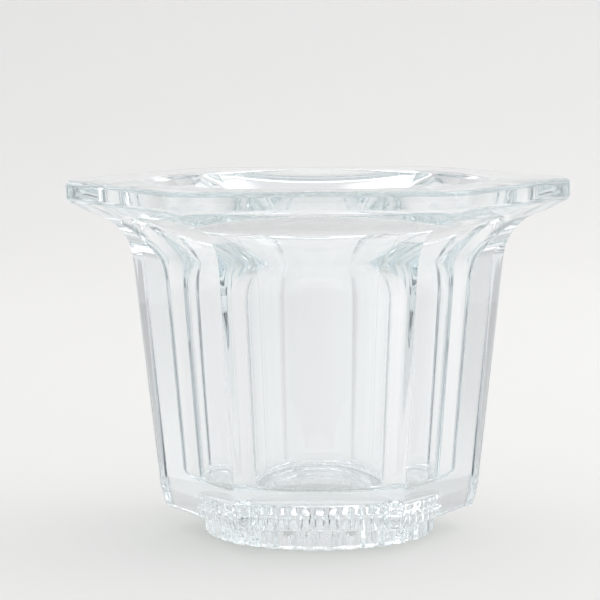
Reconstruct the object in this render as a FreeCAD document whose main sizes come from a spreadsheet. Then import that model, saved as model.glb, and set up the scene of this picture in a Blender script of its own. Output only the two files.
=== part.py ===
import FreeCAD, Part
import math
import os
import Sketcher

# Tealight holder: one piece of pressed clear glass.  Millimetres, +Z up.
# Origin: centre of the underside of the foot, on the table plane.
# Six-sided tapered body with a flat panel facing -Y, corners on the X axis, a
# flare above the neck ending in a rounded six-sided lip, a round well for the
# candle cup with a conical mouth, and a round fluted foot with a ribbed hollow
# under it.

# Driving sizes: alias, value or formula, note.  A formula follows the sizes it uses.
# "Radius" is measured from the Z axis, "level" from the table.
SIZES = [
    # foot
    ("foot_radius", 23.11, "foot, outer radius over the flutes"),
    ("foot_height", 4.67, "level of the underside of the body"),
    ("flute_radius", 1.15, "radius of one flute cutter"),
    ("flute_centre", 23.6, "flute cutter axis from the centre"),
    ("flute_depth", 4.1, "flute height up the foot"),
    ("flute_count", 36, "flutes round the foot, and ribs in the hollow"),
    # hollow under the foot
    ("hollow_mouth", 16.67, "radius of the hollow at the table"),
    ("hollow_top", 14.33, "radius of the hollow at its ceiling"),
    ("hollow_depth", 8.44, "depth of the hollow"),
    ("rib_centre", 15.0, "rib cutter axis from the centre"),
    ("rib_radius", 0.95, "radius of one rib cutter"),
    ("rib_depth", 8.0, "height that the rib cuts reach"),
    # corners of the body (revolved envelope)
    ("corner_base", 30.85, "corner radius at the lower edge"),
    ("corner_skirt", 32.05, "corner radius above the lower bevel"),
    ("skirt_level", 8.78, "level of the top of the lower bevel"),
    ("corner_neck", 36.6, "corner radius at the neck"),
    ("neck_level", 55.0, "level of the neck"),
    ("corner_flare", 10.3, "arc radius of the flare at a corner"),
    ("corner_bend", 41.6, "corner radius at the end of that arc"),
    ("bend_level", 62.67, "level of the end of the flare arcs"),
    # lip
    ("total_height", 70.44, "level of the lip's top face"),
    ("lip_edge", 1.0, "width and height of the round over the lip"),
    ("lip_round_high", 1.06, "arc radius over the lip"),
    ("lip_round_low", 1.89, "arc radius under the lip"),
    ("lip_radius", 50.0, "corner radius of the lip"),
    ("lip_top_in", "=lip_radius - lip_edge", "corner radius of the lip's top face"),
    ("lip_high_level", "=total_height - lip_edge", "upper end of the lip's upright edge"),
    ("lip_low_level", 67.1, "lower end of the lip's upright edge"),
    ("lip_under", 49.1, "corner radius where the flare meets the lip"),
    ("lip_under_level", 65.8, "level where the flare meets the lip"),
    # side panels (distance of the panel surface from the axis)
    ("panel_base", 27.0, "panel at the lower edge"),
    ("panel_skirt", 28.06, "panel above the lower bevel"),
    ("panel_neck", 32.01, "panel at the neck"),
    ("panel_flare", 10.56, "arc radius of the flare at a panel"),
    ("panel_bend", 36.33, "panel at the end of that arc"),
    ("panel_lip", 44.78, "panel at the lip's upright edge"),
    ("panel_lip_under", 43.67, "panel where the flare meets the lip"),
    ("panel_under_level", 66.0, "level where the panel's flare meets the lip"),
    ("panel_lip_top", "=panel_lip - lip_edge", "panel at the lip's top face"),
    ("panel_count", 6, "panels round the body"),
    ("tool_reach", 66.0, "outer limit of the panel cutter"),
    ("tool_high", 78.0, "upper limit of the panel cutter"),
    # well
    ("floor_level", 11.56, "floor of the well"),
    ("well_low", 20.0, "well radius above the floor round"),
    ("well_low_level", 13.11, "level of the top of the floor round"),
    ("well_floor_round", 1.56, "arc radius between floor and wall"),
    ("floor_radius", "=well_low - well_floor_round", "flat part of the floor"),
    ("well_neck", 22.33, "well radius at the neck"),
    ("well_neck_level", 49.44, "level of the inner neck"),
    ("well_flare", 13.33, "arc radius of the inner flare"),
    ("well_bend", 24.86, "well radius at the end of that arc"),
    ("well_bend_level", 56.44, "level of the end of that arc"),
    ("well_lip", 34.59, "well radius under the top edge round"),
    ("well_lip_level", 69.85, "level where the top edge round starts"),
    ("well_mouth", 35.75, "mouth radius at the top face"),
    ("well_lip_round", 1.44, "arc radius of the inner top edge"),
    ("well_clear", 75.0, "upper limit of the well cutter"),
]

# Closed outlines, one corner a row: x size, y size (0 puts it on that axis).
# The edge to the next corner is straight, unless the row goes on with an arc's
# radius and LEFT or RIGHT, the side of the direction of travel its centre is on.
LEFT, RIGHT = 1, -1

ENVELOPE = [
    (0, 0),
    ("foot_radius", 0),
    ("foot_radius", "foot_height"),
    ("corner_base", "foot_height"),
    ("corner_skirt", "skirt_level"),
    ("corner_neck", "neck_level", "corner_flare", RIGHT),
    ("corner_bend", "bend_level"),
    ("lip_under", "lip_under_level", "lip_round_low", LEFT),
    ("lip_radius", "lip_low_level"),
    ("lip_radius", "lip_high_level", "lip_round_high", LEFT),
    ("lip_top_in", "total_height"),
    (0, "total_height"),
]
PANEL = [
    ("panel_base", "foot_height"),
    ("tool_reach", "foot_height"),
    ("tool_reach", "tool_high"),
    ("panel_lip_top", "tool_high"),
    ("panel_lip_top", "total_height", "lip_round_high", RIGHT),
    ("panel_lip", "lip_high_level"),
    ("panel_lip", "lip_low_level", "lip_round_low", RIGHT),
    ("panel_lip_under", "panel_under_level"),
    ("panel_bend", "bend_level", "panel_flare", LEFT),
    ("panel_neck", "neck_level"),
    ("panel_skirt", "skirt_level"),
]
WELL = [
    (0, "floor_level"),
    ("floor_radius", "floor_level", "well_floor_round", LEFT),
    ("well_low", "well_low_level"),
    ("well_neck", "well_neck_level", "well_flare", RIGHT),
    ("well_bend", "well_bend_level"),
    ("well_lip", "well_lip_level", "well_lip_round", RIGHT),
    ("well_mouth", "total_height"),
    ("well_mouth", "well_clear"),
    (0, "well_clear"),
]
HOLLOW = [
    (0, 0),
    ("hollow_mouth", 0),
    ("hollow_top", "hollow_depth"),
    (0, "hollow_depth"),
]

LEAST_CUT = 1e-3  # mm3, a cut that removes less has missed the glass
START, END, CENTRE = 1, 2, 3  # Sketcher's point numbers
ORIGIN = (-1, START)  # the sketch origin, as a constraint's geometry and point
X_AXIS, Y_AXIS = -1, -2  # the sketch axes, as constraint geometry
UP = FreeCAD.Vector(0, 0, 1)

doc = FreeCAD.newDocument("tealight_holder")
sheet = doc.addObject("Spreadsheet::Sheet", "Sizes")
sheet.Label = "Sizes"
for row, (alias, value, note) in enumerate(SIZES, start=1):
    sheet.set(f"A{row}", alias)
    sheet.set(f"B{row}", str(value))
    sheet.set(f"C{row}", note)
    sheet.setAlias(f"B{row}", alias)
doc.recompute()

body = doc.addObject("PartDesign::Body", "glass_holder")
body.Label = "glass_holder"


def size(alias):
    """Value of a size in the sheet; 0 stands for itself."""
    return float(sheet.get(alias)) if alias else 0.0


# ---------------------------------------------------------------- sketches
def origin_part(role):
    """Plane or axis of the body's origin."""
    return next(part for part in body.Origin.OriginFeatures if part.Role == role)


def new_sketch(name, plane):
    sketch = body.newObject("Sketcher::SketchObject", name)
    sketch.AttachmentSupport = [(origin_part(plane), "")]
    sketch.MapMode = "FlatFace"
    doc.recompute()
    return sketch


def drive(sketch, name, alias, kind, *geometry):
    """Adds a dimension that follows a size in the sheet."""
    index = sketch.addConstraint(Sketcher.Constraint(kind, *geometry, size(alias)))
    sketch.renameConstraint(index, name)
    sketch.setExpression("Constraints." + name, "Sizes." + alias)


def arc_between(first, last, radius, side):
    """Minor arc from first to last; Part arcs always run anticlockwise."""
    step_x, step_y = last[0] - first[0], last[1] - first[1]
    chord = math.hypot(step_x, step_y)
    rise = math.sqrt(max(radius**2 - chord**2 / 4, 0.0))
    centre_x = (first[0] + last[0]) / 2 - side * rise * step_y / chord
    centre_y = (first[1] + last[1]) / 2 + side * rise * step_x / chord
    if side == RIGHT:
        first, last = last, first
    start_angle = math.atan2(first[1] - centre_y, first[0] - centre_x)
    end_angle = math.atan2(last[1] - centre_y, last[0] - centre_x)
    if end_angle < start_angle:
        end_angle += 2 * math.pi
    circle = Part.Circle(FreeCAD.Vector(centre_x, centre_y, 0), UP, radius)
    return Part.ArcOfCircle(circle, start_angle, end_angle)


def outline_sketch(name, plane, rows):
    """Sketch of a closed outline, given as a table of corners."""
    sketch = new_sketch(name, plane)
    corners = [(size(row[0]), size(row[1])) for row in rows]
    edges = []  # geometry, its point at this corner, its point at the next
    for i, (_, _, *arc) in enumerate(rows):
        here, there = corners[i], corners[(i + 1) % len(rows)]
        if arc:
            radius, side = arc
            curve = arc_between(here, there, size(radius), side)
            edge = sketch.addGeometry(curve, False)
            edges.append((edge, START, END) if side == LEFT else (edge, END, START))
            drive(sketch, f"arc{i}", radius, "Radius", edge)
        else:
            line = Part.LineSegment(FreeCAD.Vector(*here, 0), FreeCAD.Vector(*there, 0))
            edges.append((sketch.addGeometry(line, False), START, END))
    for i, (edge, point, _) in enumerate(edges):
        before, _, before_end = edges[i - 1]
        sketch.addConstraint(
            Sketcher.Constraint("Coincident", before, before_end, edge, point)
        )
    for i, (edge, point, _) in enumerate(edges):
        for alias, letter, kind, axis in (
            (rows[i][0], "x", "DistanceX", Y_AXIS),
            (rows[i][1], "y", "DistanceY", X_AXIS),
        ):
            if alias:
                drive(sketch, f"{letter}{i}", alias, kind, *ORIGIN, edge, point)
            else:
                sketch.addConstraint(
                    Sketcher.Constraint("PointOnObject", edge, point, axis)
                )
    return sketch


def circle_sketch(name, centre, radius):
    """Sketch of a circle on the X axis, in the table plane."""
    sketch = new_sketch(name, "XY_Plane")
    middle = FreeCAD.Vector(size(centre), 0, 0)
    circle = sketch.addGeometry(Part.Circle(middle, UP, size(radius)), False)
    sketch.addConstraint(Sketcher.Constraint("PointOnObject", circle, CENTRE, X_AXIS))
    drive(sketch, "centre", centre, "DistanceX", *ORIGIN, circle, CENTRE)
    drive(sketch, "radius", radius, "Radius", circle)
    return sketch


# ---------------------------------------------------------------- features
def finish(feature):
    """Makes the feature the tip, and stops if it failed or a cut removed nothing."""
    body.Tip = feature
    doc.recompute()
    shape = feature.Shape
    if shape.isNull() or not shape.isValid():
        raise SystemExit(f"{feature.Name} left no valid solid")
    base = feature.BaseFeature
    if base and not shape.Volume < base.Shape.Volume - LEAST_CUT:
        raise SystemExit(f"{feature.Name} removed nothing")


def turn(kind, name, rows):
    """Revolution or Groove: a full turn of an XZ outline about the Z axis."""
    sketch = outline_sketch(name + "Sketch", "XZ_Plane", rows)
    feature = body.newObject("PartDesign::" + kind, name)
    feature.Profile = sketch
    feature.ReferenceAxis = (sketch, ["V_Axis"])
    feature.Angle = 360.0
    finish(feature)


def pocket(name, sketch, length):
    feature = body.newObject("PartDesign::Pocket", name)
    feature.Profile = sketch
    feature.setExpression("Length", length)
    return feature


def repeat_round(name, cut, count):
    """Repeats a cut evenly round the Z axis."""
    pattern = body.newObject("PartDesign::PolarPattern", name)
    pattern.Originals = [cut]
    pattern.Axis = (origin_part("Z_Axis"), [""])
    pattern.Angle = 360.0
    pattern.setExpression("Occurrences", "Sizes." + count)
    finish(pattern)


def side_panels():
    """Six flat panels; the first cut faces +Y."""
    sketch = outline_sketch("PanelSketch", "YZ_Plane", PANEL)
    cut = pocket("PanelCut", sketch, "Sizes.tool_reach * 2")
    # Releases without SideType centre a pocket on its sketch with Midplane.
    if "SideType" in cut.PropertiesList:
        cut.SideType = "Symmetric"
    else:
        cut.Midplane = True
    finish(cut)
    repeat_round("Panels", cut, "panel_count")


def upright_cuts(single, plural, prefix):
    """Ring of round cuts rising from the table, sized by the prefix's aliases."""
    sketch = circle_sketch(single + "Sketch", prefix + "_centre", prefix + "_radius")
    cut = pocket(single + "Cut", sketch, f"Sizes.{prefix}_depth")
    cut.Reversed = True  # cuts towards +Z
    finish(cut)
    repeat_round(plural, cut, "flute_count")


# ---------------------------------------------------------------- the holder
turn("Revolution", "Envelope", ENVELOPE)
side_panels()
turn("Groove", "Well", WELL)
turn("Groove", "Hollow", HOLLOW)
upright_cuts("Rib", "Ribs", "rib")
upright_cuts("Flute", "Flutes", "flute")

# ---------------------------------------------------------------- export
doc.recompute()
for item in doc.Objects:
    if "Invalid" in item.State or "Error" in item.State:
        raise SystemExit(f"{item.Name} failed: {item.State}")
glass = body.Shape
if glass.isNull() or not glass.isValid() or len(glass.Solids) != 1:
    raise SystemExit(f"{body.Label} is not one valid solid")
os.makedirs("parts", exist_ok=True)
glass.exportStep(os.path.join("parts", body.Label + ".step"))
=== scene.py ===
"""Hexagonal holder pressed in one piece of clear glass, standing on a pale studio sweep.

The holder's axis is Z and the table is level 0. One flat panel faces the camera, which looks
along +Y. The glass is dimensioned in drawing units; the stage and lights are in metres.
"""
import bpy, bmesh, math
import numpy as np
from mathutils import Vector, Matrix


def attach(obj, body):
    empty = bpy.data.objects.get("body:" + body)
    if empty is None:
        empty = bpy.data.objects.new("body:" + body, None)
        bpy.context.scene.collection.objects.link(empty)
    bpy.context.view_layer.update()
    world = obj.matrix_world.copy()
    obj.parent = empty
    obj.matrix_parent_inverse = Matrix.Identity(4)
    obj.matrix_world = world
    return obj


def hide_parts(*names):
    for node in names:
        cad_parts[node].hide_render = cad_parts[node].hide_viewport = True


UNIT = 1 / 900.0            # metres in a drawing unit: the lip is 90 units = 100 mm wide

# ---- levels and radii of the glass, in drawing units ----
TOP = 63.4                  # top face of the lip
LIP_ROUND_FROM = 62.5       # level where the lip's outer edge starts to round over
BODY_BASE = 4.2             # underside of the body above the table
BASE_ROUND = 0.5            # rounding of the body's lower edge
CORNER_BLEND = 0.6          # softening where the panels meet the corners

HOLLOW_DEPTH = 7.6          # hollow in the underside
HOLLOW_MOUTH = 15.0         # its radius at the table
HOLLOW_TOP = 12.9           # its radius at full depth
HOLLOW_TOP_INSET = 0.35     # the ceiling's outer ring lies this far inside HOLLOW_TOP
HOLLOW_ROUND = 0.4          # rounding of its mouth
GROOVE_CENTRE = 13.5        # circle the groove axes stand on
GROOVE_RADIUS = 0.86
GROOVE_END = 7.2            # the grooves fade out over GROOVE_FADE below this level
GROOVE_FADE = 0.5

FOOT_RADIUS = 20.8
FOOT_EDGE = 0.45            # rounding of the foot's bottom edge
FOOT_FILLET = 0.35          # fillet between the foot and the body
FLUTES = 36                 # round the foot, and as many grooves in the hollow
FLUTE_DEPTH = 0.62
FLUTE_RUNOUT = 0.7          # height over which the flutes die away at the top

MOUTH = 32.18               # inner edge of the lip's top face
MOUTH_ROUND = 1.3
FLARE_SLOPE = math.radians(54)      # inner flare, from the horizontal
FLARE_JOIN = 60.4           # level where the mouth's rounding has merged into the well
WELL_ARC_BASE = 44.5        # level where the well wall starts to curve outward
WELL_FLOOR = 10.4
FLOOR_ROUND = 1.4           # rounding between the well's wall and floor
CAP_RADIUS = 2.0            # innermost ring of the hollow's ceiling and of the well's floor

ARC_STEPS = 40              # points on each arc of a profile
PANELS = 6
PANEL_STEPS = 92            # directions across one panel

# Profiles: (radius, level, arc to the next point as (radius, side) or None for a straight).
# Side is +1 for an arc centre to the left of travel and -1 for one to the right.
CORNER_PROFILE = [          # round envelope that cuts the six corners
    (27.9, BODY_BASE, None), (28.85, 7.9, None), (33.3, 47.3, (11.3, -1)), (38.0, 55.1, None),
    (44.2, 59.2, (1.7, 1)), (45.0, 60.4, None), (45.0, 62.5, (0.95, 1)), (44.1, TOP, None)]
PANEL_PROFILE = [           # distance of the flat panels from the axis
    (24.3, BODY_BASE, None), (25.25, 7.9, None), (28.81, 49.5, (9.5, -1)), (32.7, 56.4, None),
    (39.3, 59.4, (1.7, 1)), (40.3, 60.4, None), (40.3, 62.5, (0.95, 1)), (39.4, TOP, None)]
WELL_PROFILE = [            # round inner wall
    (18.0, WELL_FLOOR + FLOOR_ROUND, None), (20.1, WELL_ARC_BASE, (12.0, -1)),
    (22.37, 50.8, None), (31.13, 62.87, None), (31.3, 63.1, None)]

HOLLOW_LEVELS = (7.5, 7.2, 6.9, 6.6, 5.8, 5.0, 4.2, 3.4, 2.6, 1.8, 0.9)
BODY_LEVELS = np.concatenate([      # rings between the lower edge and the lip's rounding
    (5.4, 7.0, 7.5, 7.9, 8.3, 8.9), np.linspace(12, 45.5, 9), np.linspace(46.6, 55.6, 26),
    np.linspace(56.2, 59.2, 6), np.linspace(59.35, 60.5, 9), (61.5,)])
WELL_LEVELS = np.concatenate([      # rings down the wall, below the flare's join
    np.linspace(60.0, WELL_ARC_BASE, 26), np.linspace(42.5, WELL_FLOOR + 3.4, 9)])


# =====================================================================
#  Profiles and directions
# =====================================================================
def arc_points(start, end, radius, side):
    """Points on the arc from start to end, without end itself."""
    (x0, y0), (x1, y1) = start, end
    dx, dy = x1 - x0, y1 - y0
    chord = math.hypot(dx, dy)
    rise = math.sqrt(radius * radius - chord * chord / 4)
    centre_x = (x0 + x1) / 2 - side * rise * dy / chord
    centre_y = (y0 + y1) / 2 + side * rise * dx / chord
    first = math.atan2(y0 - centre_y, x0 - centre_x)
    last = math.atan2(y1 - centre_y, x1 - centre_x)
    if side > 0 and last < first:
        last += 2 * math.pi
    if side < 0 and last > first:
        last -= 2 * math.pi
    angles = [first + (last - first) * i / ARC_STEPS for i in range(ARC_STEPS)]
    return [(centre_x + radius * math.cos(a), centre_y + radius * math.sin(a)) for a in angles]


def profile_table(points):
    """Levels and radii of a profile, with its arcs divided into points."""
    table = []
    for i, (radius, level, arc) in enumerate(points):
        if arc is None:
            table.append((radius, level))
        else:
            table += arc_points((radius, level), points[i + 1][:2], *arc)
    table = np.array(table)
    return table[:, 1], table[:, 0]


def panel_directions():
    """Angles round the axis from -Y towards +X, denser at the six corners."""
    across = (np.arange(PANEL_STEPS) / PANEL_STEPS) * 2 - 1     # -1 .. 1 across a panel
    off = np.abs(across)
    angle = np.sign(across) * 30.0 * (off + 0.62 * (off - off ** 4))
    angle = np.clip(angle, -30.0, 30.0)
    return np.radians(np.concatenate([angle + 60.0 * i for i in range(PANELS)]))


def from_nearest(spacing):
    """Each direction's angle from the nearest multiple of spacing."""
    return (DIRECTIONS + spacing / 2) % spacing - spacing / 2


CORNER_TABLE = profile_table(CORNER_PROFILE)
PANEL_TABLE = profile_table(PANEL_PROFILE)
WELL_TABLE = profile_table(WELL_PROFILE)
DIRECTIONS = panel_directions()
PANEL_COS = np.cos(from_nearest(2 * math.pi / PANELS))


def outer(level):
    """Outer radius in every direction: the hexagon softly cut by the round envelope."""
    round_wall = np.interp(level, *CORNER_TABLE)
    flat_wall = np.interp(level, *PANEL_TABLE) / PANEL_COS
    overlap = np.maximum(CORNER_BLEND - np.abs(flat_wall - round_wall), 0.0) / CORNER_BLEND
    return np.minimum(flat_wall, round_wall) - overlap * overlap * CORNER_BLEND * 0.25


def well(level):
    return float(np.interp(level, *WELL_TABLE))


def foot(depth):
    """Foot radius in every direction, with flutes cut to a depth."""
    crest = np.abs(np.cos(FLUTES * DIRECTIONS / 2.0))       # 1 on a flute's axis
    return FOOT_RADIUS - depth * np.clip(1 - (1 - crest ** 2) * 2.1, 0, 1) ** 0.75


def hollow(level):
    """Tapered wall of the underside's hollow, with round grooves cut outward into it."""
    cone = HOLLOW_MOUTH - (HOLLOW_MOUTH - HOLLOW_TOP) * level / HOLLOW_DEPTH
    angle = from_nearest(2 * math.pi / FLUTES)
    across = GROOVE_CENTRE * np.sin(angle)
    reach = np.sqrt(np.maximum(GROOVE_RADIUS ** 2 - across ** 2, 0))
    groove = GROOVE_CENTRE * np.cos(angle) + reach
    groove = np.where(np.abs(across) < GROOVE_RADIUS, groove, 0.0)
    fade = np.clip((GROOVE_END - level) / GROOVE_FADE, 0, 1)
    return cone + fade * np.maximum(groove - cone, 0)


# =====================================================================
#  Rings of the glass: each is (radius, level), the radius one number or one per direction
# =====================================================================
def turn(count, end=math.pi / 2):
    """Sine and cosine of count angles from 0 to end."""
    return [(math.sin(a), math.cos(a)) for a in np.linspace(0, end, count)]


def hollow_rings():
    """Ceiling and wall of the hollow, down to its rounded mouth."""
    rings = [(CAP_RADIUS, HOLLOW_DEPTH), (HOLLOW_TOP - HOLLOW_TOP_INSET, HOLLOW_DEPTH)]
    rings += [(hollow(level), level) for level in HOLLOW_LEVELS]
    rings += [(HOLLOW_MOUTH + HOLLOW_ROUND * (1 - c), HOLLOW_ROUND - HOLLOW_ROUND * s)
              for s, c in turn(5)]
    return rings


def foot_rings():
    """Standing face and fluted edge of the foot, up to the body's underside."""
    rings = [(HOLLOW_MOUTH + 1.2, 0.0), (FOOT_RADIUS - FOOT_EDGE - 1.6, 0.0)]
    fluted = foot(FLUTE_DEPTH)
    rings += [(fluted - FOOT_EDGE + FOOT_EDGE * s, FOOT_EDGE - FOOT_EDGE * c)
              for s, c in turn(6)]
    flute_top = BODY_BASE - FOOT_FILLET
    rings.append((fluted, flute_top * 0.55))
    for t in np.linspace(0, 1, 6):
        rings.append((foot(FLUTE_DEPTH * (1 - t ** 2)), flute_top - FLUTE_RUNOUT * (1 - t)))
    halfway = math.pi / 4
    rings.append((FOOT_RADIUS + FOOT_FILLET * (1 - math.cos(halfway)),
                  flute_top + FOOT_FILLET * math.sin(halfway)))
    rings.append((FOOT_RADIUS + FOOT_FILLET, BODY_BASE))
    return rings


def body_rings():
    """Underside and outside of the body, up to the lip's outer edge."""
    rings = [((FOOT_RADIUS + outer(BODY_BASE)) / 2, BODY_BASE)]
    round_top = BODY_BASE + BASE_ROUND
    rings += [(outer(round_top) - BASE_ROUND + BASE_ROUND * s, round_top - BASE_ROUND * c)
              for s, c in turn(7)]
    rings += [(outer(level), level) for level in BODY_LEVELS]
    for s, _ in turn(11):
        level = LIP_ROUND_FROM + (TOP - LIP_ROUND_FROM) * s
        rings.append((outer(level), level))
    return rings


def mouth_rings():
    """Top face of the lip and its rounded inner edge."""
    lip = outer(TOP)
    rings = [(lip * (1 - inward) + MOUTH * inward, TOP) for inward in (0.1, 0.9)]
    rings += [(MOUTH - MOUTH_ROUND * s, TOP - MOUTH_ROUND * (1 - c))
              for s, c in turn(9, FLARE_SLOPE)]
    return rings


def well_rings(edge_radius, edge_level):
    """Inner wall and floor, starting below the end of the mouth's rounding."""
    gap = edge_radius - well(edge_level)        # eased away down to the join
    rings = []
    for level in np.linspace(edge_level - 0.3, FLARE_JOIN, 6):
        share = (level - FLARE_JOIN) / (edge_level - FLARE_JOIN)
        rings.append((well(level) + gap * share, level))
    rings += [(well(level), level) for level in WELL_LEVELS]
    round_top = WELL_FLOOR + FLOOR_ROUND
    rings += [(well(round_top) - FLOOR_ROUND + FLOOR_ROUND * c, round_top - FLOOR_ROUND * s)
              for s, c in turn(11)]
    rings += [(9.0, WELL_FLOOR), (CAP_RADIUS, WELL_FLOOR)]
    return rings


def add_mesh_object(name, bm):
    """Smooth-shaded object from a bmesh, which is freed."""
    mesh = bpy.data.meshes.new(name)
    bm.to_mesh(mesh)
    bm.free()
    for face in mesh.polygons:
        face.use_smooth = True
    obj = bpy.data.objects.new(name, mesh)
    scene.collection.objects.link(obj)
    return obj


def build_glass():
    rings = hollow_rings() + foot_rings() + body_rings() + mouth_rings()
    rings += well_rings(*rings[-1])
    count = len(DIRECTIONS)
    sines, cosines = np.sin(DIRECTIONS), np.cos(DIRECTIONS)
    bm = bmesh.new()
    grid = []
    for radius, level in rings:
        radii = np.broadcast_to(radius, (count,))
        grid.append([bm.verts.new((r * s * UNIT, -r * c * UNIT, level * UNIT))
                     for r, s, c in zip(radii, sines, cosines)])
    for lower, upper in zip(grid, grid[1:]):
        for j in range(count):
            k = (j + 1) % count
            bm.faces.new((lower[j], lower[k], upper[k], upper[j]))
    ceiling = bm.verts.new((0, 0, HOLLOW_DEPTH * UNIT))
    for j in range(count):
        bm.faces.new((ceiling, grid[0][(j + 1) % count], grid[0][j]))
    floor = bm.verts.new((0, 0, WELL_FLOOR * UNIT))
    for j in range(count):
        bm.faces.new((floor, grid[-1][j], grid[-1][(j + 1) % count]))
    bmesh.ops.recalc_face_normals(bm, faces=bm.faces)
    return add_mesh_object("pressed_glass_holder", bm)


# =====================================================================
#  Materials
# =====================================================================
def add_node(tree, kind, inputs=None, **settings):
    """New node; an input given an output socket is linked, any other is set."""
    node = tree.nodes.new(kind)
    for name, value in settings.items():
        setattr(node, name, value)
    for key, value in (inputs or {}).items():
        set_input(tree, node, key, value)
    return node


def set_input(tree, node, key, value):
    if isinstance(value, bpy.types.NodeSocket):
        tree.links.new(value, node.inputs[key])
    else:
        node.inputs[key].default_value = value


def glass_material():
    """Clear soda-lime glass: mould ripple, faint bloom and an icy tint by depth."""
    material = bpy.data.materials.new("clear_pressed_glass")
    material.use_nodes = True
    tree = material.node_tree
    glass = tree.nodes["Principled BSDF"]
    output = tree.nodes["Material Output"]
    place = add_node(tree, "ShaderNodeTexCoord").outputs["Object"]

    # slow ripple of the mould and the press, stretched upward
    ripple = add_node(tree, "ShaderNodeTexNoise",
                      {"Scale": 81.0, "Detail": 1.5, "Roughness": 0.4})
    stretch = add_node(tree, "ShaderNodeMapping", {"Scale": (1.0, 1.0, 0.45), "Vector": place})
    set_input(tree, ripple, "Vector", stretch.outputs["Vector"])
    bump = add_node(tree, "ShaderNodeBump", {
        "Strength": 0.35, "Distance": 0.00006, "Height": ripple.outputs["Fac"]})

    # faint bloom: roughness a touch higher in patches
    bloom = add_node(tree, "ShaderNodeTexNoise", {"Scale": 260.0, "Detail": 3.0, "Vector": place})
    roughness = add_node(tree, "ShaderNodeMapRange", {
        "From Min": 0.35, "From Max": 0.75, "To Min": 0.0, "To Max": 0.03,
        "Value": bloom.outputs["Fac"]})
    for key, value in {
            "Base Color": (0.985, 0.995, 1.0, 1), "IOR": 1.52, "Transmission Weight": 1.0,
            "Normal": bump.outputs["Normal"], "Roughness": roughness.outputs["Result"]}.items():
        set_input(tree, glass, key, value)

    tint = add_node(tree, "ShaderNodeVolumeAbsorption",
                    {"Color": (0.74, 0.88, 0.92, 1), "Density": 4.8})
    set_input(tree, output, "Volume", tint.outputs["Volume"])

    # shadow and diffuse rays pass unbent, with a light loss at each surface
    ray = add_node(tree, "ShaderNodeLightPath")
    unbent = add_node(tree, "ShaderNodeMath", {
        0: ray.outputs["Is Shadow Ray"], 1: ray.outputs["Is Diffuse Ray"]}, operation="MAXIMUM")
    through = add_node(tree, "ShaderNodeBsdfTransparent", {"Color": (0.86, 0.87, 0.86, 1)})
    mix = add_node(tree, "ShaderNodeMixShader", {
        0: unbent.outputs[0], 1: glass.outputs[0], 2: through.outputs[0]})
    set_input(tree, output, "Surface", mix.outputs[0])
    return material


def paper_material():
    material = bpy.data.materials.new("sweep_paper")
    material.use_nodes = True
    paper = material.node_tree.nodes["Principled BSDF"]
    paper.inputs["Base Color"].default_value = (0.925, 0.918, 0.905, 1)
    paper.inputs["Roughness"].default_value = 0.85
    paper.inputs["Specular IOR Level"].default_value = 0.15
    return material


# =====================================================================
#  Stage, in metres
# =====================================================================
def build_sweep():
    """Paper that lies on the table and curves up behind the holder."""
    half_width, near_edge, top_edge = 1.9, -1.4, 0.95
    level = -0.0001                             # just under the foot
    curve_from, curve_radius, curve_steps = 0.55, 0.5, 16
    side_view = [(near_edge, level), (curve_from, level)]       # (y, z)
    for i in range(1, curve_steps + 1):
        angle = i / curve_steps * math.pi / 2
        side_view.append((curve_from + curve_radius * math.sin(angle),
                          curve_radius - curve_radius * math.cos(angle)))
    side_view.append((curve_from + curve_radius, top_edge))
    bm = bmesh.new()
    left, right = [[bm.verts.new((x, y, z)) for y, z in side_view]
                   for x in (-half_width, half_width)]
    for i in range(len(side_view) - 1):
        bm.faces.new((left[i], right[i], right[i + 1], left[i + 1]))
    return add_mesh_object("studio_sweep", bm)


def build_world():
    """Plain bright sky with a dark band behind the camera, a dim wall and two windows."""
    world = bpy.data.worlds.new("studio")
    scene.world = world
    world.use_nodes = True
    tree = world.node_tree
    background = tree.nodes["Background"]
    direction = add_node(tree, "ShaderNodeTexCoord").outputs["Generated"]

    def ease(source, start, end):
        """Smooth step from 0 at start to 1 at end."""
        return add_node(tree, "ShaderNodeMapRange", {
            "From Min": start, "From Max": end, "Value": source},
            interpolation_type="SMOOTHSTEP").outputs[0]

    def maths(operation, first, second):
        return add_node(tree, "ShaderNodeMath", {0: first, 1: second},
                        operation=operation).outputs[0]

    def patch(towards, inner_cos, outer_cos):
        """1 inside a soft-edged disc of the sky, 0 outside; limits are cosines."""
        facing = add_node(tree, "ShaderNodeVectorMath", {
            0: direction, 1: Vector(towards).normalized()}, operation="DOT_PRODUCT")
        return ease(facing.outputs["Value"], outer_cos, inner_cos)

    def tinted(base, factor, colour):
        # sockets 6, 7 and output 2 are the mix node's colour sockets
        return add_node(tree, "ShaderNodeMix", {0: factor, 6: base, 7: colour},
                        data_type="RGBA").outputs[2]

    sky = add_node(tree, "ShaderNodeRGB").outputs[0]
    sky.default_value = (0.96, 0.96, 0.97, 1)
    axes = add_node(tree, "ShaderNodeSeparateXYZ", {0: direction}).outputs

    # the unlit room behind the camera: a low band of the sky
    behind = ease(maths("MULTIPLY", axes["Y"], -1.0), 0.15, 0.55)
    low = maths("SUBTRACT", 1.0, ease(axes["Z"], 0.28, 0.48))
    sky = tinted(sky, maths("MULTIPLY", behind, low), (0.07, 0.07, 0.09, 1))
    for towards, inner_cos, outer_cos, colour in (
            ((-1.0, -0.1, 0.55), 0.97, 0.90, (0.40, 0.43, 0.45, 1)),    # dim wall at the left
            ((0.55, 0.8, 0.9), 0.975, 0.93, (1.6, 1.6, 1.6, 1)),        # window, high right rear
            ((-0.6, 0.75, 0.8), 0.985, 0.95, (1.5, 1.5, 1.5, 1))):      # window, high left rear
        sky = tinted(sky, patch(towards, inner_cos, outer_cos), colour)
    set_input(tree, background, "Color", sky)
    set_input(tree, background, "Strength", 0.85)


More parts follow.
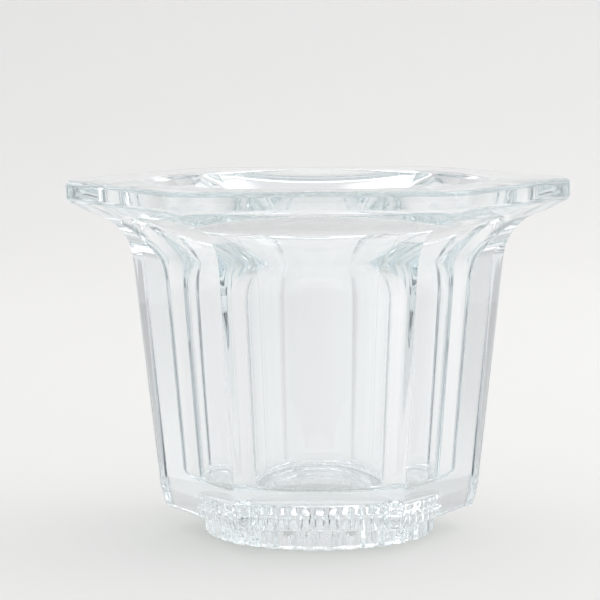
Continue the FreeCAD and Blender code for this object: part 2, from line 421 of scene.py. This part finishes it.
def aim(location, target):
    return (Vector(target) - Vector(location)).to_track_quat("-Z", "Y")


def add_area_light(name, location, size, power, target):
    light = bpy.data.lights.new(name, "AREA")
    light.shape = "RECTANGLE"
    light.size, light.size_y = size
    light.energy = power
    obj = bpy.data.objects.new(name, light)
    scene.collection.objects.link(obj)
    obj.location = location
    obj.rotation_euler = aim(location, target).to_euler()


def add_camera():
    distance, height = 430.0, 87.55         # drawing units
    pan = math.radians(-0.44)               # negative turns left
    pitch = math.radians(6.11)              # downward
    roll = math.radians(-0.33)
    camera = bpy.data.cameras.new("photo_camera")
    obj = bpy.data.objects.new("photo_camera", camera)
    scene.collection.objects.link(obj)
    scene.camera = obj
    camera.sensor_width = 36.0
    camera.lens = 144.3
    camera.clip_start = 0.01
    obj.location = (0.0, -distance * UNIT, height * UNIT)
    forward = (math.sin(pan) * math.cos(pitch), math.cos(pan) * math.cos(pitch),
               -math.sin(pitch))
    obj.rotation_mode = "QUATERNION"
    obj.rotation_quaternion = (aim((0, 0, 0), forward)
                               @ Matrix.Rotation(roll, 4, "Z").to_quaternion())


def set_render():
    """Enough bounces for light to cross the many walls of glass."""
    scene.view_settings.view_transform = "Standard"
    cycles = scene.cycles
    cycles.max_bounces = 40
    cycles.transmission_bounces = 40
    cycles.glossy_bounces = 16
    cycles.caustics_refractive = True
    cycles.caustics_reflective = True


# =====================================================================
#  Assembly
# =====================================================================
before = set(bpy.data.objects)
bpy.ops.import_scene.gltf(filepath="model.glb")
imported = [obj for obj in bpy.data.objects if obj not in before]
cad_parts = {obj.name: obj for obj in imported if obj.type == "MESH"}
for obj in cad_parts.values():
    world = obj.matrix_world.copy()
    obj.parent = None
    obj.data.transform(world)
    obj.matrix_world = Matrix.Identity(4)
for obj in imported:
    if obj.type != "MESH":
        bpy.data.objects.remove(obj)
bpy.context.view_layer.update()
scene = bpy.context.scene

holder = build_glass()
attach(holder, "root")
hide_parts("glass_holder")
holder.data.materials.append(glass_material())

sweep = build_sweep()
sweep.data.materials.append(paper_material())

build_world()
add_area_light("softbox_right", location=(0.75, 0.15, 0.8), size=(0.6, 0.6), power=2.2,
               target=(0, 0, 0.03))
add_area_light("backdrop_light", location=(0.0, 0.35, 1.25), size=(1.6, 0.3), power=3.3,
               target=(0.0, 1.05, 0.45))
add_camera()
set_render()
